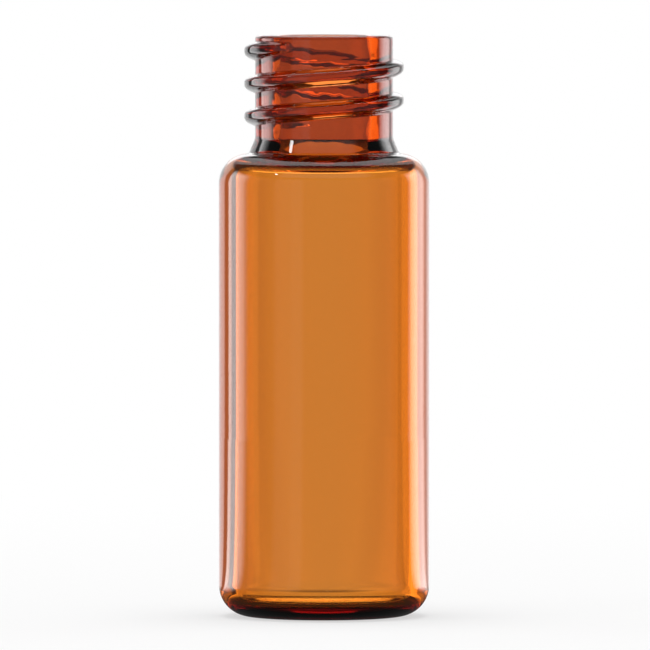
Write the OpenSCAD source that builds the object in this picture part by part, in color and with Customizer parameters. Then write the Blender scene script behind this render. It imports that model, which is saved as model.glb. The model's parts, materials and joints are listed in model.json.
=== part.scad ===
// Glass sample vial with a short screw thread, drawn from one glass tube.
// The origin is the middle of the underside, +Z is up, and every length is in millimetres.
// One closed section, turned about Z, makes the base, wall, shoulder, neck and lip.
// The thread is one ridge of glass that winds up the neck and fades out at both ends.

/* [Body] */
// Outer diameter of the body
body_d = 11.6; // [10.5:0.1:14]
// Height from the underside to the top of the lip
height = 32; // [26:0.5:46]
// Thickness of the body's wall
wall = 1.0; // [0.8:0.05:1.4]
// Thickness of the glass in the middle of the base
base_t = 0.95; // [0.7:0.05:2]
// Outer rounding where the wall meets the base
base_round = 1.7; // [1:0.05:2.2]
// Inner rounding where the wall meets the base
base_inner_round = 0.55; // [0.4:0.05:1.6]

/* [Shoulder] */
// Outer rounding where the wall turns in to the shoulder
shoulder_round = 1.65; // [1.2:0.05:2]
// Inner rounding below the shoulder
shoulder_inner_round = 0.6; // [0.4:0.05:1.1]
// Thickness of the glass at the shoulder
shoulder_t = 0.8; // [0.6:0.05:1.4]
// Rounding of the glass where the shoulder turns up into the bore
throat_round = 0.8; // [0.5:0.05:1.4]

/* [Neck] */
// Height of the neck, from the shoulder to the top of the lip
neck_h = 6.5; // [5.5:0.1:9]
// Outer diameter of the neck, which is the root of the thread
neck_d = 7.6; // [7.2:0.05:7.9]
// Diameter of the bore through the neck
bore_d = 5.0; // [4.5:0.1:6.1]
// Rounding of both edges of the lip
lip_round = 0.22; // [0.1:0.02:0.3]
// Height of the flare at the foot of the neck
flare_h = 0.85; // [0.5:0.05:1.2]
// How far the flare widens the neck, measured outwards
flare_w = 0.35; // [0.15:0.05:0.45]
// Rounding between the flare and the shoulder
flare_round = 0.2; // [0.1:0.02:0.3]

/* [Thread] */
// Diameter over the crest of the thread
thread_d = 8.8; // [8.3:0.05:9.2]
// Rise of the thread in one turn
thread_pitch = 1.8; // [1.4:0.05:2]
// Number of turns from end to end, with the faded ends
thread_turns = 2.4; // [1.5:0.1:2.6]
// Width of the ridge at its root
ridge_w = 1.0; // [0.7:0.05:1.2]
// How far the crest leans up from the middle of the root
ridge_lean = 0.08; // [0:0.02:0.14]
// How far the middle of the ridge's upper end lies below the lip
thread_drop = 0.6; // [0.5:0.05:1]
// Direction of the ridge's upper end, turned from +X towards +Y, in degrees
thread_end_angle = 243; // [0:1:359]
// Stretch of thread over which each end fades, in degrees
thread_fade = 50; // [20:5:90]

/* [Hidden] */
$fn = 96;
body_r = body_d / 2;
inner_r = body_r - wall;
neck_r = neck_d / 2;
bore_r = bore_d / 2;
shoulder_z = height - neck_h;
ceiling_z = shoulder_z - shoulder_t;
// The two roundings below the neck share the ledge between the wall and the bore
ledge_w = inner_r - bore_r;
ceiling_round = min(shoulder_inner_round, ledge_w / 2);
throat_r = min(throat_round, ledge_w - ceiling_round);
// The shoulder's rounding, as the middle of its arc
shoulder_mid = [body_r - shoulder_round, shoulder_z - shoulder_round];
// The flare, as directions down along it and square out from it
flare_top = [neck_r, shoulder_z + flare_h];
flare_angle = atan2(flare_w, flare_h);
flare_down = [sin(flare_angle), -cos(flare_angle)];
flare_out = [cos(flare_angle), sin(flare_angle)];
// The flare's rounding rests on the shoulder's flat, or on its rounding where that starts further in
beside_flare = flare_top + flare_round * flare_out;
flat_run = (beside_flare[1] - shoulder_z - flare_round) / cos(flare_angle);
on_flat = beside_flare[0] + flat_run * sin(flare_angle) <= shoulder_mid[0];
both_rounds = shoulder_round + flare_round;
from_shoulder = beside_flare - shoulder_mid;
round_run = -from_shoulder * flare_down
    - sqrt(pow(from_shoulder * flare_down, 2) - from_shoulder * from_shoulder + pow(both_rounds, 2));
fillet_mid = beside_flare + (on_flat ? flat_run : round_run) * flare_down;
fillet_rise = fillet_mid - shoulder_mid;
shoulder_end = on_flat ? 90 : atan2(fillet_rise[1], fillet_rise[0]);
arc_step = 9;
// The ridge, in steps along the thread and points across it
ridge_h = (thread_d - neck_d) / 2;
ridge_sink = 0.1;
ridge_embed = 0.35;
ridge_power = 3;
step_angle = 9;
ring_count = ceil(thread_turns * 360 / step_angle);
across_count = 9;
faded_width = 0.4;
ring_points = across_count + 2;

// Points of an arc from one angle to another, in steps of at most arc_step degrees
function arc(mid, rounding, from, to) =
    let (steps = ceil(abs(to - from) / arc_step))
    [
        for (k = [0 : steps])
            let (angle = from + (to - from) * k / steps)
            mid + rounding * [cos(angle), sin(angle)]
    ];

// Half section of the glass: up the outside, over the lip and down through the bore
module glass_section() {
    polygon(concat(
        [[0, 0]],
        arc([body_r - base_round, base_round], base_round, -90, 0),
        arc(shoulder_mid, shoulder_round, 0, shoulder_end),
        arc(fillet_mid, flare_round, shoulder_end - 180, flare_angle - 180),
        [flare_top],
        arc([neck_r - lip_round, height - lip_round], lip_round, 0, 90),
        arc([bore_r + lip_round, height - lip_round], lip_round, 90, 180),
        arc([bore_r + throat_r, ceiling_z + throat_r], throat_r, 180, 270),
        arc([inner_r - ceiling_round, ceiling_z - ceiling_round], ceiling_round, 90, 0),
        arc([inner_r - base_inner_round, base_t + base_inner_round],
            base_inner_round, 0, -90),
        [[0, base_t]]
    ));
}

// Height of the ridge above the neck, at across from -1 to 1 and a fade from 0 to 1
function ridge_rise(across, fade) =
    (ridge_h + ridge_sink) * (1 - pow(abs(across), ridge_power)) * fade - ridge_sink;

// How full the ridge is at an angle along the thread, eased in and out at its ends
function fade_at(along) =
    let (near = min(along, thread_turns * 360 - along) / thread_fade)
    near >= 1 ? 1 : sin(90 * max(near, 0));

// One point of the ridge: along in degrees from the upper end, out from the neck, up from the root
function ridge_point(along, out, up) =
    [
        (neck_r + out) * cos(thread_end_angle - along),
        (neck_r + out) * sin(thread_end_angle - along),
        height - thread_drop - thread_pitch * along / 360 + up
    ];

// The points round the ridge's section at one place along the thread
function ridge_ring(along) =
    let (
        fade = fade_at(along),
        half_w = ridge_w / 2 * (faded_width + (1 - faded_width) * fade)
    )
    [
        ridge_point(along, -ridge_embed, -half_w),
        for (i = [0 : across_count - 1])
            let (
                across = sin(90 * (2 * i / (across_count - 1) - 1)),
                lean = ridge_lean * (1 - abs(across)) * fade
            )
            ridge_point(along, ridge_rise(across, fade), across * half_w + lean),
        ridge_point(along, -ridge_embed, half_w)
    ];

// Ridge of glass that winds up the neck, its root sunk in the neck's wall
module thread_ridge() {
    rings = [for (k = [0 : ring_count]) ridge_ring(thread_turns * 360 * k / ring_count)];
    points = [for (ring = rings) for (p = ring) p];
    sides = [
        for (k = [0 : ring_count - 1])
            for (i = [0 : ring_points - 1])
                let (
                    j = (i + 1) % ring_points,
                    a = k * ring_points,
                    b = a + ring_points
                )
                each [[a + i, b + j, a + j], [a + i, b + i, b + j]]
    ];
    first_end = [for (i = [0 : ring_points - 1]) i];
    last_end = [for (i = [ring_points - 1 : -1 : 0]) ring_count * ring_points + i];
    polyhedron(points, concat([first_end], sides, [last_end]));
}

// The vial: one piece of amber glass
module vial() {
    color("peru") {
        rotate_extrude()
            glass_section();
        thread_ridge();
    }
}

vial();
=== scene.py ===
# %% [markdown]
# # A glass sample vial
# A laboratory vial like this one is formed from a length of amber glass tube.
# The tube is cut, its end is melted into a flat base, and the other end is narrowed into a neck.
# Rollers press a short screw thread into the soft neck, and a flame rounds every cut edge.
# The whole vial is one piece of glass, so this scene makes one closed mesh.
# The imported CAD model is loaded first, because the sizes below are measured on it.

# %% Load the frame
import json
import math

import bpy
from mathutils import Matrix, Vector
from mathutils.bvhtree import BVHTree


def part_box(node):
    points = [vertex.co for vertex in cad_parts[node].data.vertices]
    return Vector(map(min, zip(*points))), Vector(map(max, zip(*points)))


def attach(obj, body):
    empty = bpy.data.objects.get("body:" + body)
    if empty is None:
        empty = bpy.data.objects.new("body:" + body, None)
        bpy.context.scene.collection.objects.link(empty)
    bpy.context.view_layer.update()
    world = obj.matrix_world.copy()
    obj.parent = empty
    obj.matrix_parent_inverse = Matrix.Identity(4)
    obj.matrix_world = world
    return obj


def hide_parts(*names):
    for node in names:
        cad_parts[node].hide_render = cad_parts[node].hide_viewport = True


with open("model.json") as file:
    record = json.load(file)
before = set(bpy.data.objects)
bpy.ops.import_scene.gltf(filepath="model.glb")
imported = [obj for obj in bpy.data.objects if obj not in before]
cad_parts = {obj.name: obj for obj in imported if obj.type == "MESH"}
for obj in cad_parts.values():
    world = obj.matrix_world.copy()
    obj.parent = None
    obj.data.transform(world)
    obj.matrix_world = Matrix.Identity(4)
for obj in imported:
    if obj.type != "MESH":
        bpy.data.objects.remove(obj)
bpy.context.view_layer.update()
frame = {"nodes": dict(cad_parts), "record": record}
MM = 0.001

# %% [markdown]
# ## Sizes of the glass
# The lip, the bore and the straight outer wall are named places in the CAD record.
# The rest is found by casting rays at the CAD mesh, as a feeler gauge would find it.
# A ray cast from the hollow stops at the inner wall, and one cast down stops at the base.

# %% Measure the CAD vial
mounts = {mount["name"]: mount for mount in frame["record"]["mounts"]}
vial_low, vial_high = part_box("vial")
glass_tree = BVHTree.FromObject(frame["nodes"]["vial"], bpy.context.evaluated_depsgraph_get())


def feel(start, direction):
    """Where a ray from start first meets the CAD glass."""
    return glass_tree.ray_cast(Vector(start), Vector(direction))[0]


height = vial_high.z - vial_low.z
rack_fit = mounts["rack_fit"]
mouth = mounts["mouth"]
body_r = rack_fit["dims"]["r_mm"] * MM
wall_half = rack_fit["dims"]["length_mm"] * MM / 2
base_round = rack_fit["pos_m"][2] - wall_half
shoulder_start = rack_fit["pos_m"][2] + wall_half
bore_r = mouth["dims"]["r_mm"] * MM
bore_half = mouth["dims"]["length_mm"] * MM / 2
lip_round = height - (mouth["pos_m"][2] + bore_half)
throat_z = mouth["pos_m"][2] - bore_half
inner_r = feel((0, 0, height / 2), (1, 0, 0)).x
base_t = feel((0, 0, height / 2), (0, 0, -1)).z
print("outer, inner and bore radius in mm:", [round(r / MM, 3) for r in (body_r, inner_r, bore_r)])
print("base thickness in mm:", round(base_t / MM, 3))

# %% [markdown]
# ## Sizes that a ray can't feel
# The neck's foot is a small flare, and the thread is a ridge that winds up the neck.
# One ray doesn't find a pitch or a rounding, so these sizes are written down by name.
# They are the CAD part's own values, so the finished glass fills the same form.

# %% Name the sizes of the shoulder, the neck and the thread
neck_height = 6.5 * MM
shoulder_z = height - neck_height
shoulder_round = shoulder_z - shoulder_start
ceiling_z = feel(((inner_r + bore_r) / 2, 0, height / 2), (0, 0, 1)).z
throat_round = throat_z - ceiling_z
shoulder_inner_round = 0.6 * MM
ceiling_round = min(shoulder_inner_round, (inner_r - bore_r) / 2)
base_inner_round = 0.55 * MM
neck_r = 3.8 * MM
flare_height = 0.85 * MM
flare_width = 0.35 * MM
flare_round = 0.2 * MM
ridge_height = 0.6 * MM
ridge_width = 1.0 * MM
ridge_lean = 0.08 * MM
ridge_sink = 0.1 * MM
thread_pitch = 1.8 * MM
thread_turns = 2.4
thread_drop = 0.6 * MM
thread_end_angle = 243
thread_fade = 50
faded_width = 0.4
print("ceiling in mm:", round(ceiling_z / MM, 3), "throat rounding:", round(throat_round / MM, 3))

# %% [markdown]
# ## Half section of the glass
# A vial is the same all the way round, so one outline through the glass describes it.
# The outline could be drawn by hand as a curve, but numbers keep every wall at its thickness.
# Roundings get many short steps, because glass shows every facet by the way it bends light.

# %% Helpers for the outline
ARC_STEP = 5.0
FEWEST_STEPS = 4


def arc(middle, rounding, start, end):
    """Points of an arc in the half section, with angles in degrees from the outward direction."""
    count = max(FEWEST_STEPS, math.ceil(abs(end - start) / ARC_STEP))
    angles = [math.radians(start + (end - start) * k / count) for k in range(count + 1)]
    return [
        (middle[0] + rounding * math.cos(angle), middle[1] + rounding * math.sin(angle))
        for angle in angles
    ]


def run(start, end, step):
    """Evenly spaced points between two points, without the two ends."""
    length = math.dist(start, end)
    count = max(1, round(length / step))
    return [
        (start[0] + (end[0] - start[0]) * k / count, start[1] + (end[1] - start[1]) * k / count)
        for k in range(1, count)
    ]


print("points in a quarter circle:", len(arc((0, 0), 1, 0, 90)))

# %% [markdown]
# ## Foot of the neck
# The neck widens towards the shoulder, and a small hollow rounding joins the two.
# That rounding touches the sloping flare, so its middle slides along a line beside the flare.
# It comes to rest on the shoulder's flat, or on its rounding where that starts further in.
# Both cases are worked out, because vials like this one come in a family of sizes.

# %% Find the rounding at the neck's foot
flare_top = (neck_r, shoulder_z + flare_height)
flare_angle = math.atan2(flare_width, flare_height)
flare_down = (math.sin(flare_angle), -math.cos(flare_angle))
beside_flare = (
    flare_top[0] + flare_round * math.cos(flare_angle),
    flare_top[1] + flare_round * math.sin(flare_angle),
)
shoulder_middle = (body_r - shoulder_round, shoulder_start)
flat_run = (beside_flare[1] - shoulder_z - flare_round) / math.cos(flare_angle)
on_flat = beside_flare[0] + flat_run * math.sin(flare_angle) <= shoulder_middle[0]
both_rounds = shoulder_round + flare_round
away = (beside_flare[0] - shoulder_middle[0], beside_flare[1] - shoulder_middle[1])
along_flare = away[0] * flare_down[0] + away[1] * flare_down[1]
reach = along_flare ** 2 - away[0] ** 2 - away[1] ** 2 + both_rounds ** 2
flare_run = flat_run if on_flat else -along_flare - math.sqrt(reach)
flare_middle = (
    beside_flare[0] + flare_run * flare_down[0],
    beside_flare[1] + flare_run * flare_down[1],
)
foot_angle = math.degrees(
    math.atan2(flare_middle[1] - shoulder_middle[1], flare_middle[0] - shoulder_middle[0])
)
shoulder_end = 90 if on_flat else foot_angle
print("the shoulder's rounding ends at", round(shoulder_end, 1), "degrees")

# %% [markdown]
# ## The outline, part by part
# The outline starts in the middle of the underside, climbs the outside and turns over the lip.
# It then comes down through the bore and ends in the middle of the floor inside.
# The neck's outside has closely spaced points, because the thread is raised there.
# The flare has them too: smooth shading over one long face would bend light the wrong way.

# %% Draw the outside, from the underside to the lip
THREAD_STEP = 0.045 * MM
FLARE_STEP = 0.06 * MM
WALL_STEP = 1.0 * MM
underside = [(0, 0)] + run((0, 0), (body_r - base_round, 0), WALL_STEP)
base_arc = arc((body_r - base_round, base_round), base_round, -90, 0)
outer_wall = run((body_r, base_round), (body_r, shoulder_start), WALL_STEP)
shoulder_arc = arc(shoulder_middle, shoulder_round, 0, shoulder_end)
foot_arc = arc(flare_middle, flare_round, shoulder_end - 180, math.degrees(flare_angle) - 180)
flare_side = run(foot_arc[-1], flare_top, FLARE_STEP)
lip_outer = arc((neck_r - lip_round, height - lip_round), lip_round, 0, 90)
neck_wall = [flare_top] + run(flare_top, lip_outer[0], THREAD_STEP)
outside = [
    underside, base_arc, outer_wall, shoulder_arc, foot_arc, flare_side, neck_wall, lip_outer,
]
print("points up the neck's outside:", len(neck_wall))

# %% Draw the inside, from the lip to the floor
BORE_STEP = 0.14 * MM
lip_inner = arc((bore_r + lip_round, height - lip_round), lip_round, 90, 180)
throat_arc = arc((bore_r + throat_round, ceiling_z + throat_round), throat_round, 180, 270)
bore_wall = run(lip_inner[-1], throat_arc[0], BORE_STEP)
ceiling_arc = arc((inner_r - ceiling_round, ceiling_z - ceiling_round), ceiling_round, 90, 0)
floor_arc = arc((inner_r - base_inner_round, base_t + base_inner_round), base_inner_round, 0, -90)
inner_wall = run(ceiling_arc[-1], floor_arc[0], WALL_STEP)
inner_floor = run(floor_arc[-1], (0, base_t), WALL_STEP) + [(0, base_t)]
inside = [lip_inner, bore_wall, throat_arc, ceiling_arc, inner_wall, floor_arc, inner_floor]
print("points down the bore:", len(bore_wall))

# %% [markdown]
# ## Marks on the points
# Only the neck's outside may rise into a thread, and only the bore's wall may be uneven.
# Faces could be picked out later by their place, but a number on each point is simpler.
# The sweep carries these numbers along with the points.
# The unevenness fades out towards both ends of the bore, so the lip stays a true circle.

# %% Join the parts and mark their points
EVEN_END = 0.8 * MM
SAME_PLACE = 0.001 * MM
outline = []
threaded = []
unevenness = []
for part in outside + inside:
    for place, point in enumerate(part):
        if outline and math.dist(outline[-1], point) < SAME_PLACE:
            continue
        outline.append(point)
        threaded.append(1.0 if part is neck_wall else 0.0)
        from_end = min(place, len(part) - 1 - place) * BORE_STEP
        unevenness.append(min(1.0, from_end / EVEN_END) if part is bore_wall else 0.0)
print("points in the outline:", len(outline), "of which threaded:", int(sum(threaded)))

# %% [markdown]
# ## The glass, turned and threaded by one tree of Geometry Nodes
# The body could be turned with a Screw modifier and the thread joined to it with a Boolean.
# A Boolean leaves thin triangles where the ridge meets the neck, and clear glass shows them.
# Here the outline is swept round a circle, and the thread is raised out of the neck's own points.
# A small class keeps the nodes short to write and remembers the tree's named inputs.

# %% Helper for building a node tree
class Tree:
    """A geometry node tree with short ways to add and link nodes."""

    def __init__(self, name):
        self.tree = bpy.data.node_groups.new(name, "GeometryNodeTree")
        for in_out in ("INPUT", "OUTPUT"):
            self.tree.interface.new_socket(
                "Geometry", in_out=in_out, socket_type="NodeSocketGeometry"
            )
        self.identifiers = {}
        self.group_in = None

    def size(self, name, value, kind="NodeSocketFloat"):
        """Add a named input and remember its identifier and value."""
        socket = self.tree.interface.new_socket(name, in_out="INPUT", socket_type=kind)
        if value is not None:
            socket.default_value = value
        self.identifiers[name] = (socket.identifier, value)

    def node(self, kind, **settings):
        """Add one node with its settings."""
        made = self.tree.nodes.new(kind)
        for key, value in settings.items():
            setattr(made, key, value)
        return made

    def link(self, source, target):
        """Link an output to an input, or set the input's plain value."""
        if isinstance(source, (int, float, tuple)):
            target.default_value = source
        else:
            self.tree.links.new(source, target)

    def math(self, operation, *values):
        """A Math node, given its operation and its inputs in order."""
        made = self.node("ShaderNodeMath", operation=operation)
        for socket, value in zip(made.inputs, values):
            self.link(value, socket)
        return made.outputs[0]

    def named(self, name):
        """The group's own input of that name."""
        if self.group_in is None:
            self.group_in = self.node("NodeGroupInput")
        return self.group_in.outputs[name]


vial_tree = Tree("turned_and_threaded_glass")
print("empty tree made:", vial_tree.tree.name)

# %% [markdown]
# ## Named inputs of the tree
# Each size of the thread and of the bore's waves is an input with a name.
# It could be written into its node instead, but an input can be changed in the modifier.
# The ridge's root blends into the neck over a short height, as soft glass does under a roller.
# The bore is uneven by a few hundredths of a millimetre, in waves of about a millimetre.

# %% Name the tree's inputs
SEGMENTS = 256
SWEEP_R = 1.0 * MM
ROOT_BLEND = 0.2 * MM
RIPPLE_HEIGHT = 0.035 * MM
RIPPLES_A_METRE = 1200.0
vial_tree.size("Segments", SEGMENTS, "NodeSocketInt")
vial_tree.size("Sweep Radius", SWEEP_R)
vial_tree.size("Ridge Height", ridge_height)
vial_tree.size("Ridge Width", ridge_width)
vial_tree.size("Ridge Lean", ridge_lean)
vial_tree.size("Ridge Sink", ridge_sink)
vial_tree.size("Root Blend", ROOT_BLEND)
vial_tree.size("Pitch", thread_pitch)
vial_tree.size("Turns", thread_turns)
vial_tree.size("Upper End Height", height - thread_drop)
vial_tree.size("Upper End Angle", math.radians(thread_end_angle))
vial_tree.size("Fade Angle", math.radians(thread_fade))
vial_tree.size("Faded Width", faded_width)
vial_tree.size("Ripple Height", RIPPLE_HEIGHT)
vial_tree.size("Ripples A Metre", RIPPLES_A_METRE)
vial_tree.size("Glass", None, "NodeSocketMaterial")
print("inputs of the tree:", ", ".join(vial_tree.identifiers))

# %% [markdown]
# ## Turning the outline
# A glass tube is round because it is drawn and worked while it turns.
# A Screw modifier could turn the outline, but a sweep along a circle stays in the same tree.
# The circle's radius is taken off the outline beforehand, so the circle can have any size.
# Both ends of the outline lie on the axis, and merging closes each of them into one point.

# %% Turn the outline round the axis
CLOSE_TOGETHER = 0.0005 * MM


def sweep_nodes(made):
    """Turn the outline round the axis and close the two poles."""
    sketch = made.node("GeometryNodeMeshToCurve")
    made.link(made.named("Geometry"), sketch.inputs["Mesh"])
    circle = made.node("GeometryNodeCurvePrimitiveCircle", mode="RADIUS")
    made.link(made.named("Segments"), circle.inputs["Resolution"])
    made.link(made.named("Sweep Radius"), circle.inputs["Radius"])
    swept = made.node("GeometryNodeCurveToMesh")
    made.link(circle.outputs["Curve"], swept.inputs["Curve"])
    made.link(sketch.outputs["Curve"], swept.inputs["Profile Curve"])
    closed = made.node("GeometryNodeMergeByDistance")
    made.link(swept.outputs["Mesh"], closed.inputs["Geometry"])
    made.link(CLOSE_TOGETHER, closed.inputs["Distance"])
    outward = made.node("GeometryNodeFlipFaces")
    made.link(closed.outputs["Geometry"], outward.inputs["Mesh"])
    return outward.outputs["Mesh"]


turned_glass = sweep_nodes(vial_tree)
print("nodes after turning:", len(vial_tree.tree.nodes))

# %% [markdown]
# ## The screw thread
# The thread is a rounded ridge that winds down the neck, fading in and out at its two ends.
# It could be a separate sweep along a helix, but then its root would cut into the neck.
# Instead every point of the neck works out how far along the helix it lies, in radians.
# It then works out how far it is above or below the ridge's middle line there.

# %% Find each point's place on the helix
FULL_TURN = 2 * math.pi


def point_axes(made):
    """The X, Y and Z of a point."""
    place = made.node("ShaderNodeSeparateXYZ")
    made.link(made.node("GeometryNodeInputPosition").outputs[0], place.inputs[0])
    return place.outputs


def helix_place(made):
    """How far along the thread a point lies, and how far above its middle line."""
    x, y, z = point_axes(made)
    turned = made.math("SUBTRACT", made.named("Upper End Angle"), made.math("ARCTAN2", y, x))
    below = made.math("SUBTRACT", made.named("Upper End Height"), z)
    wound = made.math("MULTIPLY", made.math("DIVIDE", below, made.named("Pitch")), FULL_TURN)
    turns_more = made.math("DIVIDE", made.math("SUBTRACT", wound, turned), FULL_TURN)
    whole = made.math("ROUND", turns_more)
    along = made.math("ADD", turned, made.math("MULTIPLY", whole, FULL_TURN))
    fall = made.math("MULTIPLY", made.math("DIVIDE", along, FULL_TURN), made.named("Pitch"))
    return along, made.math("SUBTRACT", fall, below)


along_thread, above_middle = helix_place(vial_tree)
print("nodes after finding the helix:", len(vial_tree.tree.nodes))

# %% [markdown]
# ## Fading the thread's ends
# A pressed thread doesn't stop with a step: the rollers leave it over a short stretch.
# The ridge's fullness is a quarter of a sine wave at each end, so it rises without a kink.

# %% Ease the ridge in and out at its two ends
def fullness_of(made, along):
    """How full the ridge is, from 0 past its ends to 1 along its middle."""
    run_length = made.math("MULTIPLY", made.named("Turns"), FULL_TURN)
    left = made.math("SUBTRACT", run_length, along)
    near = made.math("DIVIDE", made.math("MINIMUM", along, left), made.named("Fade Angle"))
    near = made.math("MAXIMUM", made.math("MINIMUM", near, 1.0), 0.0)
    return made.math("SINE", made.math("MULTIPLY", near, math.pi / 2))


fullness = fullness_of(vial_tree, along_thread)
print("nodes after fading:", len(vial_tree.tree.nodes))

# %% [markdown]
# ## The ridge's own form
# A rolled ridge has a broad round crest that leans up a little, and it narrows as it fades.
# The distance across it is 0 on the crest and 1 at the root, above and below alike.
# A cubed distance keeps the crest broad, where a squared one would make it pointed.
# A smooth maximum with the plain neck then rounds the root.

# %% Measure across the ridge
BEYOND_ROOT = 2.0


def across_ridge(made, above, fullness):
    """0 on the ridge's crest, 1 at its root, and no more than BEYOND_ROOT outside it."""
    spread = made.math("SUBTRACT", 1.0, made.named("Faded Width"))
    widened = made.math("MULTIPLY", spread, fullness)
    share = made.math("ADD", made.named("Faded Width"), widened)
    half = made.math("MULTIPLY", made.math("MULTIPLY", made.named("Ridge Width"), 0.5), share)
    lean = made.math("MULTIPLY", made.named("Ridge Lean"), fullness)
    off = made.math("SUBTRACT", above, lean)
    upper = made.math("DIVIDE", off, made.math("SUBTRACT", half, lean))
    lower = made.math("DIVIDE", made.math("MULTIPLY", off, -1.0), made.math("ADD", half, lean))
    return made.math("MINIMUM", made.math("MAXIMUM", upper, lower), BEYOND_ROOT)


across = across_ridge(vial_tree, above_middle, fullness)
print("nodes after measuring across:", len(vial_tree.tree.nodes))

# %% Work out the ridge's height
CREST_POWER = 3.0


def ridge_rise(made, across, fullness):
    """How far a point of the neck rises, with a rounded root."""
    crest = made.math("SUBTRACT", 1.0, made.math("POWER", across, CREST_POWER))
    full = made.math("ADD", made.named("Ridge Height"), made.named("Ridge Sink"))
    raised = made.math("MULTIPLY", made.math("MULTIPLY", full, crest), fullness)
    raised = made.math("SUBTRACT", raised, made.named("Ridge Sink"))
    return made.math("SMOOTH_MAX", raised, 0.0, made.named("Root Blend"))


thread_rise = ridge_rise(vial_tree, across, fullness)
print("nodes after the ridge's height:", len(vial_tree.tree.nodes))

# %% [markdown]
# ## Raising the thread
# The tree now knows how far each point should rise, and moves it straight out from the axis.
# The mark on the points keeps this to the neck's outside.
# The points stay joined as they were, so the glass remains one closed skin without a seam.

# %% Raise the ridge out of the neck
def marked(made, name):
    """The mark that the outline's points carry under that name."""
    mark = made.node("GeometryNodeInputNamedAttribute", data_type="FLOAT")
    mark.inputs["Name"].default_value = name
    return mark.outputs["Attribute"]


def moved_out(made, glass, distance):
    """Move every point straight out from the axis by its own distance."""
    x, y, _ = point_axes(made)
    flat = made.node("ShaderNodeCombineXYZ")
    made.link(x, flat.inputs[0])
    made.link(y, flat.inputs[1])
    outward = made.node("ShaderNodeVectorMath", operation="NORMALIZE")
    made.link(flat.outputs[0], outward.inputs[0])
    move = made.node("ShaderNodeVectorMath", operation="SCALE")
    made.link(outward.outputs[0], move.inputs[0])
    made.link(distance, move.inputs["Scale"])
    moved = made.node("GeometryNodeSetPosition")
    made.link(glass, moved.inputs["Geometry"])
    made.link(move.outputs[0], moved.inputs["Offset"])
    return moved.outputs["Geometry"]


on_neck = vial_tree.math("MULTIPLY", thread_rise, marked(vial_tree, "threaded"))
threaded_glass = moved_out(vial_tree, turned_glass, on_neck)
print("nodes after threading:", len(vial_tree.tree.nodes))

# %% [markdown]
# ## The uneven bore
# Rollers outside and a pin inside squeeze the neck's glass, and leave the bore a little wavy.
# The waves could be a bump in the material, but real height also shifts what is seen behind.
# They break the thread's lines into streaks where these are seen through the near wall.
# Blender's noise always gives the same value at the same place, so it needs no seed.

# %% Make the bore uneven
RIPPLE_DETAIL = 1.0


def ripple(made):
    """A smooth noise, as a height in and out."""
    noise = made.node("ShaderNodeTexNoise")
    made.link(made.node("GeometryNodeInputPosition").outputs[0], noise.inputs["Vector"])
    made.link(made.named("Ripples A Metre"), noise.inputs["Scale"])
    made.link(RIPPLE_DETAIL, noise.inputs["Detail"])
    swing = made.math("MULTIPLY", made.math("SUBTRACT", noise.outputs[0], 0.5), 2.0)
    return made.math("MULTIPLY", swing, made.named("Ripple Height"))


in_bore = vial_tree.math("MULTIPLY", ripple(vial_tree), marked(vial_tree, "uneven"))
uneven_glass = moved_out(vial_tree, threaded_glass, in_bore)
print("nodes after the unevenness:", len(vial_tree.tree.nodes))

# %% [markdown]
# ## Ending the tree
# Fire-polished glass has no edges, so the whole mesh is shaded smooth.
# Realize Instances and Set Material come last, so that an export keeps the shape and the glass.

# %% Finish the tree
def finish_nodes(made, glass):
    """Shade smoothly, realise and give the material."""
    smooth = made.node("GeometryNodeSetShadeSmooth")
    made.link(glass, smooth.inputs["Geometry"])
    real = made.node("GeometryNodeRealizeInstances")
    made.link(smooth.outputs["Geometry"], real.inputs["Geometry"])
    finished = made.node("GeometryNodeSetMaterial")
    made.link(real.outputs["Geometry"], finished.inputs["Geometry"])
    made.link(made.named("Glass"), finished.inputs["Material"])
    made.link(finished.outputs["Geometry"], made.node("NodeGroupOutput").inputs["Geometry"])


finish_nodes(vial_tree, uneven_glass)
print("nodes in the finished tree:", len(vial_tree.tree.nodes))

# %% [markdown]
# ## Amber glass
# The colour of amber glass comes from iron and sulphur melted into it, so it is in the bulk.
# A coloured surface would give a thick place and a thin place the same colour.
# Here Volume Absorption takes light away along the path inside the glass.
# Thick glass, such as the neck and the edge of the base, then turns deep red by itself.
# Absorption is stated for each metre, because the scene is in metres.

# %% Colour the glass in its bulk
ABSORPTION = (225.0, 800.0, 1950.0)
DENSITY_MARGIN = 1.02


def add_node(tree, kind, **settings):
    """Add one shader node with its settings."""
    made = tree.nodes.new(kind)
    for key, value in settings.items():
        setattr(made, key, value)
    return made


def amber_bulk(tree):
    """Take red, green and blue away along the path inside, each at its own rate."""
    bulk = add_node(tree, "ShaderNodeVolumeAbsorption")
    density = max(ABSORPTION) * DENSITY_MARGIN
    bulk.inputs["Density"].default_value = density
    bulk.inputs["Color"].default_value = (*(1 - a / density for a in ABSORPTION), 1)
    tree.links.new(bulk.outputs["Volume"], tree.nodes["Material Output"].inputs["Volume"])


kept_light = [round(math.exp(-rate * (body_r - inner_r)), 2) for rate in ABSORPTION]
print("share of red, green and blue that gets through the wall:", kept_light)

# %% [markdown]
# ## Darker glass at the neck
# The neck looks darker and redder than its thickness alone would make it.
# A likely cause is that it is heated again and again while it is formed, which amber glass shows.
# The bulk colour can't change with height, because an export keeps only one colour for it.
# A tint on the surface does it instead, blended in just below the shoulder.

# %% Tint the neck
NECK_TINT = (0.8, 0.6, 0.95, 1)
NO_TINT = (1, 1, 1, 1)
NECK_TINT_FROM = shoulder_z - 0.5 * MM
NECK_TINT_TO = shoulder_z - 0.2 * MM


def ramp(tree, value, first, second):
    """0 up to the first value, 1 from the second, and a smooth change between them."""
    made = add_node(tree, "ShaderNodeMapRange", interpolation_type="SMOOTHSTEP")
    tree.links.new(value, made.inputs["Value"])
    made.inputs["From Min"].default_value = first
    made.inputs["From Max"].default_value = second
    return made.outputs["Result"]


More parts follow.
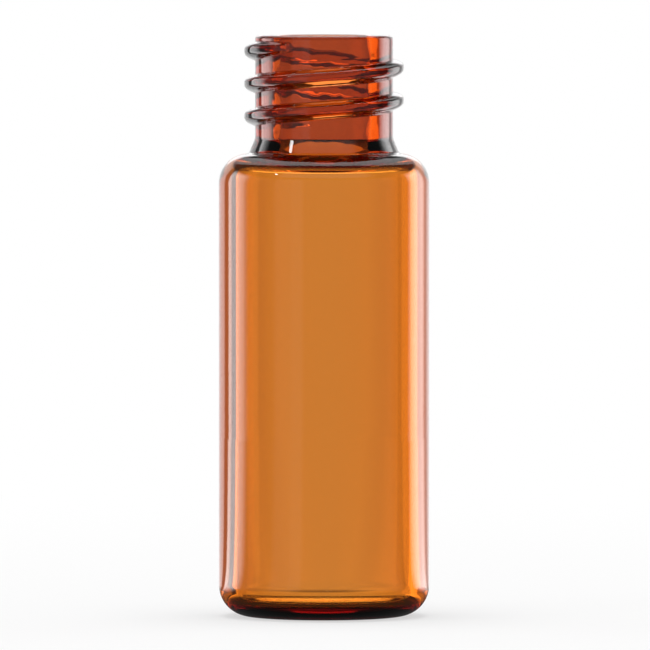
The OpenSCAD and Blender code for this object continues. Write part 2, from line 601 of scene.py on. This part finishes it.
def neck_tint(tree, where):
    """No tint on the body, and the neck's tint above the shoulder."""
    place = add_node(tree, "ShaderNodeSeparateXYZ")
    tree.links.new(where.outputs["Object"], place.inputs[0])
    tint = add_node(tree, "ShaderNodeMix", data_type="RGBA")
    plain, tinted = [socket for socket in tint.inputs if socket.type == "RGBA"]
    plain.default_value = NO_TINT
    tinted.default_value = NECK_TINT
    share = ramp(tree, place.outputs["Z"], NECK_TINT_FROM, NECK_TINT_TO)
    tree.links.new(share, tint.inputs["Factor"])
    return [socket for socket in tint.outputs if socket.type == "RGBA"][0]


print("the tint starts at a height in mm of", round(NECK_TINT_FROM / MM, 2))

# %% [markdown]
# ## Drawing waves
# Tube glass has faint waves along its length from drawing, which are seen only as a shimmer.
# They are far too low to model, so a noise stretched along the tube bends the normals a little.
# The noise reads Object coordinates, so it stays on the glass from every side.

# %% Give the glass its drawing waves
WAVES_A_METRE = (420, 420, 45)
WAVE_DETAIL = 2.0
WAVE_STRENGTH = 0.05
WAVE_HEIGHT = 0.02 * MM


def drawing_waves(tree, where):
    """Normals bent slightly by a noise that is stretched along the tube."""
    stretch = add_node(tree, "ShaderNodeMapping")
    stretch.inputs["Scale"].default_value = WAVES_A_METRE
    waves = add_node(tree, "ShaderNodeTexNoise")
    waves.inputs["Scale"].default_value = 1.0
    waves.inputs["Detail"].default_value = WAVE_DETAIL
    bump = add_node(tree, "ShaderNodeBump")
    bump.inputs["Strength"].default_value = WAVE_STRENGTH
    bump.inputs["Distance"].default_value = WAVE_HEIGHT
    tree.links.new(where.outputs["Object"], stretch.inputs["Vector"])
    tree.links.new(stretch.outputs["Vector"], waves.inputs["Vector"])
    tree.links.new(waves.outputs["Fac"], bump.inputs["Height"])
    return bump.outputs["Normal"]


print("length of a wave along the tube in mm:", round(1 / WAVES_A_METRE[2] / MM, 1))

# %% [markdown]
# ## The finished glass
# A flame-polished surface is perfectly smooth, so the roughness is zero.
# A Glass shader could serve too, but an export understands only the Principled one.
# The index of refraction is that of borosilicate glass, which laboratory vials are made of.

# %% Make the glass material
GLASS_IOR = 1.5
glass = bpy.data.materials.new("amber_tube_glass")
glass.use_nodes = True
glass_nodes = glass.node_tree
surface = glass_nodes.nodes["Principled BSDF"]
surface.inputs["Transmission Weight"].default_value = 1.0
surface.inputs["Roughness"].default_value = 0.0
surface.inputs["IOR"].default_value = GLASS_IOR
amber_bulk(glass_nodes)
glass_place = add_node(glass_nodes, "ShaderNodeTexCoord")
glass_nodes.links.new(neck_tint(glass_nodes, glass_place), surface.inputs["Base Color"])
glass_nodes.links.new(drawing_waves(glass_nodes, glass_place), surface.inputs["Normal"])
print("nodes in the glass:", len(glass_nodes.nodes))

# %% [markdown]
# ## From outline to glass
# The outline becomes a chain of edges, moved in by the sweep's radius and laid in its own plane.
# The modifier runs the tree on that chain, and its inputs are set before it is first evaluated.
# new_from_object keeps the result as a plain mesh, so nothing live is left on the piece.

# %% Sketch the outline as a chain of edges
sketch_mesh = bpy.data.meshes.new("half_section")
places = [(r - SWEEP_R, -z, 0) for r, z in outline]
sketch_mesh.from_pydata(places, [(k, k + 1) for k in range(len(places) - 1)], [])
marks = {"threaded": threaded, "uneven": unevenness}
for name, values in marks.items():
    sketch_mesh.attributes.new(name, "FLOAT", "POINT").data.foreach_set("value", values)
vial = bpy.data.objects.new("sample_vial", sketch_mesh)
bpy.context.scene.collection.objects.link(vial)
print("edges in the sketch:", len(sketch_mesh.edges))

# %% Run the tree and keep its mesh
modifier = vial.modifiers.new("turn_and_thread", "NODES")
modifier.node_group = vial_tree.tree
for name, (identifier, value) in vial_tree.identifiers.items():
    modifier[identifier] = glass if name == "Glass" else value
evaluated = vial.evaluated_get(bpy.context.evaluated_depsgraph_get())
glass_mesh = bpy.data.meshes.new_from_object(evaluated)
vial.modifiers.remove(modifier)
vial.data = glass_mesh
bpy.data.meshes.remove(sketch_mesh)
glass_mesh.name = "sample_vial"
for name in marks:
    if glass_mesh.attributes.get(name):
        glass_mesh.attributes.remove(glass_mesh.attributes[name])
print("points in the glass:", len(glass_mesh.vertices), "material:", glass_mesh.materials[0].name)

# %% [markdown]
# ## A check on the mesh
# The volume inside a closed mesh is a sum over its triangles, each seen from the origin.
# It comes out positive only when the faces point outwards, and the bulk colour needs that.

# %% Measure the glass
glass_mesh.calc_loop_triangles()
points = [vertex.co for vertex in glass_mesh.vertices]
volume = 0
for triangle in glass_mesh.loop_triangles:
    a, b, c = (points[k] for k in triangle.vertices)
    volume += a.dot(b.cross(c)) / 6
print("triangles:", len(glass_mesh.loop_triangles))
print("volume in cubic mm:", round(volume / MM ** 3, 1))

# %% [markdown]
# ## The studio
# Clear glass has no look of its own: it shows the studio round it, bent and reflected.
# To show a vial well, white paper is put behind it and a bright card at each side.
# The paper shines through the glass, and the cards draw a pale band down both its edges.
# Dark gaps between the cards and a dark ceiling draw the thin black lines.
# Real cards would have to stand close by, so the studio is painted on the world instead.
# It is fixed to the room and not to the camera, so the vial can be looked at from any side.

# %% Helpers for the studio's materials
def shader_math(tree, operation, *values):
    """A Math node in a shader tree, given its operation and its inputs in order."""
    made = add_node(tree, "ShaderNodeMath", operation=operation)
    for socket, value in zip(made.inputs, values):
        if isinstance(value, (int, float)):
            socket.default_value = value
        else:
            tree.links.new(value, socket)
    return made.outputs[0]


def blend_between(tree, share, first, second):
    """first where share is 0 and second where it is 1."""
    rest = shader_math(tree, "SUBTRACT", 1.0, share)
    of_first = shader_math(tree, "MULTIPLY", first, rest)
    of_second = shader_math(tree, "MULTIPLY", second, share)
    return shader_math(tree, "ADD", of_first, of_second)


print("helpers made:", shader_math.__name__, "and", blend_between.__name__)

# %% [markdown]
# ## Brightness round the vial
# Seen from the vial, each card is a range of directions with one level of brightness.
# So a ring is a list of directions, in degrees from straight behind the vial, and their levels.
# A Color Ramp turns the list into light. It holds 32 stops at most, with values of up to 1,
# so each level is divided by the brightest one allowed and multiplied back afterwards.
# One ring is mirrored by the glass and the other shines through it.
# A real room has one ring for both, but two let the pale edges and the even middle be set apart.

# %% Brightness that the glass mirrors
RING_REFLECTED = [
    (-180, 0.32), (-158, 0.32), (-155, 0.6), (-145, 0.6), (-142, 0.5), (-127, 0.5), (-121, 0.25),
    (-88, 0.3), (-84, 1.3), (-80, 2.7), (-77, 3.4), (-72, 4.1), (-62, 4.2), (-60, 3.3), (-58, 4.1),
    (-52, 4.1), (-49, 0.2), (-41, 0.15), (-37, 1.25), (0, 1.0), (15, 1.3), (26, 1.3),
    (29, 0.8), (36, 0.8), (40, 2.1), (45, 3.4), (60, 4.2), (68, 2.8), (76, 0.1), (90, 0.1),
    (103, 0.32),
]
print("stops in the mirrored ring:", len(RING_REFLECTED))

# %% Brightness that shines through the glass
RING_THROUGH = [
    (-180, 0.8), (-95, 0.8), (-80, 1.2), (-60, 1.4), (-52, 2.3), (-49, 0.15), (-41, 0.15),
    (-37, 0.75), (-18, 0.9), (-15, 1.06), (-11, 1.07), (-9, 1.0), (-6.5, 1.0), (-4, 1.05),
    (-1, 0.99), (2, 0.99), (4, 1.05), (6.5, 1.0), (8.5, 1.02), (11, 1.12), (16, 1.22), (24, 1.2),
    (30, 1.0), (36, 1.0), (38, 2.6), (70, 2.8), (73, 0.1), (82, 0.1), (95, 0.8), (180, 0.8),
]
print("stops in the ring that shines through:", len(RING_THROUGH))

# %% Turn a ring's list into light
BRIGHTEST = 5.0


def ring(tree, axes, levels):
    """Brightness by direction round the vial, from a list of (degrees, level) in rising order."""
    azimuth = shader_math(tree, "ARCTAN2", axes["X"], axes["Y"])
    share = shader_math(tree, "ADD", shader_math(tree, "DIVIDE", azimuth, FULL_TURN), 0.5)
    band = add_node(tree, "ShaderNodeValToRGB")
    tree.links.new(share, band.inputs["Fac"])
    stops = band.color_ramp.elements
    ready_made = len(stops)
    for k, (degrees, level) in enumerate(levels):
        place = degrees / 360 + 0.5
        stop = stops[k] if k < ready_made else stops.new(place)
        stop.position = place
        stop.color = (level / BRIGHTEST, level / BRIGHTEST, level / BRIGHTEST, 1)
    return shader_math(tree, "MULTIPLY", band.outputs["Color"], BRIGHTEST)


print("the brightest level is", max(level for _, level in RING_REFLECTED + RING_THROUGH))

# %% [markdown]
# ## Floor
# The vial stands on a sheet of white paper, a hair below it so that the two don't touch.
# A shadow catcher could keep the shadow alone, but glass needs a floor to show.
# The sheet is lit by the lamps like any paper, and that part keeps the vial's soft shadow.
# To the eye it turns plain white further out, so that it runs into the background unseen.
# To the glass it repeats the two rings, with a painted shadow right under the vial.
# That painted shadow is what makes the vial's base look black.

# %% Lay the sheet of paper
FLOOR_R = 0.2
FLOOR_Z = -0.02 * MM
FLOOR_SIDES = 64
PAPER_COLOUR = (0.85, 0.85, 0.85, 1)
PAPER_ROUGHNESS = 0.9
floor_mesh = bpy.data.meshes.new("studio_floor")
rim_angles = [FULL_TURN * k / FLOOR_SIDES for k in range(FLOOR_SIDES)]
rim_points = [(FLOOR_R * math.cos(a), FLOOR_R * math.sin(a), FLOOR_Z) for a in rim_angles]
floor_mesh.from_pydata(rim_points, [], [tuple(range(FLOOR_SIDES))])
floor = bpy.data.objects.new("studio_floor", floor_mesh)
bpy.context.scene.collection.objects.link(floor)
paper = bpy.data.materials.new("white_paper")
paper.use_nodes = True
paper_tree = paper.node_tree
paper_shade = paper_tree.nodes["Principled BSDF"]
paper_shade.inputs["Base Color"].default_value = PAPER_COLOUR
paper_shade.inputs["Roughness"].default_value = PAPER_ROUGHNESS
paper_shade.inputs["Specular IOR Level"].default_value = 0.0
floor_mesh.materials.append(paper)
print("floor diameter in mm:", round(2 * FLOOR_R / MM))

# %% Set the paper's brightness, to the eye and to the glass
# Painted shadow: the paper's brightness to rays through or off the glass drops to this level right
# under the vial.
PAINTED_SHADOW_UNDER_VIAL = 0.06
EYE_FADE = (20 * MM, 120 * MM)
EYE_NEAR = 0.6
MIRROR_FADE = (8 * MM, 30 * MM)
GLASS_FADE = (6 * MM, 14 * MM)
floor_place = add_node(paper_tree, "ShaderNodeTexCoord")
from_middle = add_node(paper_tree, "ShaderNodeVectorMath", operation="LENGTH")
floor_axes = add_node(paper_tree, "ShaderNodeSeparateXYZ")
paper_tree.links.new(floor_place.outputs["Object"], from_middle.inputs[0])
paper_tree.links.new(floor_place.outputs["Object"], floor_axes.inputs[0])


def away_from_vial(fade):
    """0 near the vial, 1 far from it, with the change between two distances."""
    return ramp(paper_tree, from_middle.outputs["Value"], *fade)


def floor_ring(fade, levels):
    """A painted shadow under the vial, and a ring's own brightness further out."""
    around = ring(paper_tree, floor_axes.outputs, levels)
    return blend_between(paper_tree, away_from_vial(fade), PAINTED_SHADOW_UNDER_VIAL, around)


to_eye = blend_between(paper_tree, away_from_vial(EYE_FADE), EYE_NEAR, 1.0)
in_mirror = floor_ring(MIRROR_FADE, RING_REFLECTED)
in_glass = floor_ring(GLASS_FADE, RING_THROUGH)
print("the floor is dark to the glass up to a distance in mm of", round(GLASS_FADE[0] / MM))

# %% Join the lit paper and its own brightness
glow = add_node(paper_tree, "ShaderNodeEmission")
floor_path = add_node(paper_tree, "ShaderNodeLightPath")
is_bent = floor_path.outputs["Is Transmission Ray"]
is_mirrored = floor_path.outputs["Is Reflection Ray"]
shine = blend_between(paper_tree, is_mirrored, 1.0, in_mirror)
shine = blend_between(paper_tree, is_bent, shine, in_glass)
paper_tree.links.new(shine, glow.inputs["Strength"])
by_eye = shader_math(paper_tree, "MULTIPLY", floor_path.outputs["Is Camera Ray"], to_eye)
by_glass = shader_math(paper_tree, "MAXIMUM", is_bent, is_mirrored)
floor_mix = add_node(paper_tree, "ShaderNodeMixShader")
paper_tree.links.new(shader_math(paper_tree, "MAXIMUM", by_eye, by_glass), floor_mix.inputs[0])
paper_tree.links.new(paper_shade.outputs[0], floor_mix.inputs[1])
paper_tree.links.new(glow.outputs[0], floor_mix.inputs[2])
paper_out = paper_tree.nodes["Material Output"]
paper_tree.links.new(floor_mix.outputs[0], paper_out.inputs["Surface"])
print("nodes in the paper:", len(paper_tree.nodes))

# %% [markdown]
# ## Walls and panels
# The room's walls carry the two rings near the horizon and give way to a dark ceiling above.
# The shoulder looks up at that ceiling and shows it as its dark band.
# Four bright shapes above the walls give the shoulder and the neck their lights.
# Two panels behind the vial shine through it: one low down and one further up.
# The backdrop's upper edge and a panel in front are only mirrored.
# Each shape has a range of rise, from 0 at the horizon to 1 overhead, and an angle to each side.

# %% Start the world
world = bpy.data.worlds.new("studio_world")
bpy.context.scene.world = world
world.use_nodes = True
sky = world.node_tree
sky_place = add_node(sky, "ShaderNodeTexCoord")
direction = add_node(sky, "ShaderNodeSeparateXYZ")
sky.links.new(sky_place.outputs["Generated"], direction.inputs[0])
rise_of = direction.outputs["Z"]
across_room = shader_math(sky, "ABSOLUTE", direction.outputs["X"])
from_back = shader_math(sky, "ARCTAN2", across_room, direction.outputs["Y"])
towards_front = shader_math(sky, "MULTIPLY", direction.outputs["Y"], -1.0)
from_front = shader_math(sky, "ARCTAN2", across_room, towards_front)


def between(low, high, soft):
    """1 where a ray's rise is between low and high, with soft edges."""
    lower = ramp(sky, rise_of, low - soft, low)
    upper = ramp(sky, rise_of, high, high + soft)
    return shader_math(sky, "SUBTRACT", lower, upper)


def panel_shape(rise_range, turn, side_range):
    """A panel with a range of rise, whose sides fade out between two angles in radians."""
    return shader_math(sky, "MULTIPLY", between(*rise_range), ramp(sky, turn, *side_range))


print("the world's nodes so far:", len(sky.nodes))

# %% Light that shines through the glass
CEILING = 0.08
WALL_TOP_THROUGH = (0.05, 0.16)
PANEL_THROUGH = 2.5
PANEL_RISE = (0.36, 0.66, 0.03)
LOW_PANEL = 3.6
LOW_PANEL_RISE = (0.12, 0.24, 0.02)
PANEL_SIDES = (0.24, 0.16)
wall_through = ring(sky, direction.outputs, RING_THROUGH)
above_wall = ramp(sky, rise_of, *WALL_TOP_THROUGH)
through = blend_between(sky, above_wall, wall_through, CEILING)
high_panel = panel_shape(PANEL_RISE, from_back, PANEL_SIDES)
through = blend_between(sky, high_panel, through, PANEL_THROUGH)
low_panel = panel_shape(LOW_PANEL_RISE, from_back, PANEL_SIDES)
through = blend_between(sky, low_panel, through, LOW_PANEL)
print("light through the glass comes from the wall and 2 panels, at", PANEL_THROUGH, LOW_PANEL)

# %% Light that the glass mirrors
WALL_TOP_REFLECTED = (0.3, 0.45)
BACKDROP_TOP = 2.2
BACKDROP_TOP_RISE = (0.16, 0.32, 0.03)
BACKDROP_TOP_SIDES = (0.3, 0.2)
FRONT_PANEL = 0.6
FRONT_PANEL_RISE = (0.5, 0.74, 0.04)
FRONT_PANEL_SIDES = (1.2, 0.8)
wall_reflected = ring(sky, direction.outputs, RING_REFLECTED)
above_wall = ramp(sky, rise_of, *WALL_TOP_REFLECTED)
reflected = blend_between(sky, above_wall, wall_reflected, CEILING)
backdrop_top = panel_shape(BACKDROP_TOP_RISE, from_back, BACKDROP_TOP_SIDES)
reflected = blend_between(sky, backdrop_top, reflected, BACKDROP_TOP)
front_panel = panel_shape(FRONT_PANEL_RISE, from_front, FRONT_PANEL_SIDES)
reflected = blend_between(sky, front_panel, reflected, FRONT_PANEL)
print("the glass mirrors the wall, the backdrop's top and a front panel, at", BACKDROP_TOP)

# %% [markdown]
# ## The arch over the vial
# A round shoulder gathers the whole ceiling into a thin line, and a flat panel would break it up.
# So the light there is an arch, made of the directions that glass at one slant mirrors forwards.
# That slant is the rise divided by the chord between a direction and straight back.
# Every part of the shoulder with that slant then shows the arch, as one even pale line.
# The arch stays fixed in the room, as the walls and the panels do.

# %% Add the arch
ARCH = 2.5
ARCH_POWER = 1.5
ARCH_SLANT = (0.67, 0.86)
ARCH_SOFT = 0.03
ARCH_FOOT = (0.34, 0.42)
from_straight_back = shader_math(sky, "SUBTRACT", 1.0, direction.outputs["Y"])
chord = shader_math(sky, "SQRT", shader_math(sky, "MULTIPLY", from_straight_back, 2.0))
slant = shader_math(sky, "DIVIDE", rise_of, chord)
in_arch = shader_math(
    sky, "MULTIPLY",
    ramp(sky, slant, ARCH_SLANT[0] - ARCH_SOFT, ARCH_SLANT[0]),
    ramp(sky, slant, ARCH_SLANT[1] + ARCH_SOFT, ARCH_SLANT[1]),
)
in_arch = shader_math(sky, "MULTIPLY", in_arch, ramp(sky, rise_of, *ARCH_FOOT))
arch_level = shader_math(sky, "MULTIPLY", ARCH, shader_math(sky, "POWER", rise_of, ARCH_POWER))
reflected = blend_between(sky, in_arch, reflected, arch_level)
arch_angles = [round(math.degrees(math.asin(slant_there))) for slant_there in ARCH_SLANT]
print("the arch covers slants in degrees of", arch_angles)

# %% [markdown]
# ## One world for the eye, for paper and for glass
# The Light Path node tells what kind of ray is asking, so each kind can get its own light.
# The eye sees a plain white background, and paper gets a plain soft light from all round.
# Only the glass sees the painted studio, either mirrored or through itself.

# %% Join the world's lights
AMBIENT = 0.55
sky_path = add_node(sky, "ShaderNodeLightPath")
by_kind = blend_between(sky, sky_path.outputs["Is Transmission Ray"], reflected, through)
by_kind = blend_between(sky, sky_path.outputs["Is Diffuse Ray"], by_kind, AMBIENT)
by_kind = blend_between(sky, sky_path.outputs["Is Camera Ray"], by_kind, 1.0)
background = sky.nodes["Background"]
background.inputs["Color"].default_value = (1, 1, 1, 1)
sky.links.new(by_kind, background.inputs["Strength"])
print("nodes in the world:", len(sky.nodes))

# %% [markdown]
# ## Lamps
# A broad lamp overhead lights the paper and draws the vial's shadow under its base.
# It isn't mirrored, because its square form would show in the round shoulder.
# A small lamp at the upper left is mirrored, and leaves a spark on the neck's foot.
# A lamp's energy follows from its radiance and its size, so it can grow without getting duller.

# %% Hang the lamps
def lamp_at(name, azimuth, elevation, distance, size, radiance, reflected):
    """A square lamp that faces the vial; azimuth is turned from straight behind it."""
    data = bpy.data.lights.new(name, "AREA")
    data.shape = "SQUARE"
    data.size = size
    data.energy = radiance * math.pi * size ** 2
    lamp = bpy.data.objects.new(name, data)
    bpy.context.scene.collection.objects.link(lamp)
    a, e = math.radians(azimuth), math.radians(elevation)
    towards = Vector((math.sin(a) * math.cos(e), math.cos(a) * math.cos(e), math.sin(e)))
    lamp.location = towards * distance + Vector((0, 0, height / 2))
    lamp.rotation_mode = "QUATERNION"
    lamp.rotation_quaternion = towards.to_track_quat("Z", "Y")
    lamp.visible_camera = False
    lamp.visible_transmission = False
    lamp.visible_glossy = reflected
    print(name, "gives", round(data.energy, 3), "watts")


lamp_at(
    "overhead_lamp", azimuth=0, elevation=88, distance=0.8,
    size=0.5, radiance=4.4, reflected=False,
)
lamp_at(
    "upper_left_lamp", azimuth=-118, elevation=37, distance=0.5,
    size=0.04, radiance=18.0, reflected=True,
)

# %% [markdown]
# ## Camera
# The vial is seen from a little above its middle, through a long lens.
# A long lens keeps the vial's sides parallel, so its width reads the same at any height.
# The camera is turned by a quaternion, which points it at the vial's middle in one step.

# %% Set up the camera
LENS = 650
SENSOR = 36
CAMERA_DISTANCE = 0.6466
CAMERA_RISE = 2.3
AIM_ACROSS = 0.05 * MM
AIM_ABOVE_MIDDLE = 0.038 * MM
camera_data = bpy.data.cameras.new("camera")
camera_data.lens = LENS
camera_data.sensor_width = SENSOR
camera_data.clip_start = 0.01
camera_data.clip_end = 6
camera = bpy.data.objects.new("camera", camera_data)
bpy.context.scene.collection.objects.link(camera)
target = Vector((AIM_ACROSS, 0, height / 2 + AIM_ABOVE_MIDDLE))
rise = math.radians(CAMERA_RISE)
camera.location = target + Vector((0, -math.cos(rise), math.sin(rise))) * CAMERA_DISTANCE
camera.rotation_mode = "QUATERNION"
camera.rotation_quaternion = (camera.location - target).to_track_quat("Z", "Y")
bpy.context.scene.camera = camera
print("height of the view at the vial in mm:", round(CAMERA_DISTANCE * SENSOR / LENS / MM, 1))

# %% [markdown]
# ## Light paths
# Light crosses up to a dozen glass surfaces in the thread before it leaves the neck.
# If it is given too few bounces, those places turn black, so the limits are raised.
# The Standard view shows colours as they are written.

# %% Set the view and the light paths
scene = bpy.context.scene
scene.view_settings.view_transform = "Standard"
scene.cycles.max_bounces = 32
scene.cycles.transmission_bounces = 24
scene.cycles.glossy_bounces = 12
scene.cycles.transparent_max_bounces = 16
scene.cycles.sample_clamp_indirect = 0
scene.cycles.caustics_reflective = True
scene.cycles.caustics_refractive = True
scene.cycles.use_denoising = True
print("bounces through glass:", scene.cycles.transmission_bounces)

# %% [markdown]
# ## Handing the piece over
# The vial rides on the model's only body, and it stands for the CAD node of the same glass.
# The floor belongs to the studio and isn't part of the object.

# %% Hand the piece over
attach(vial, "root")
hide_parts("vial")
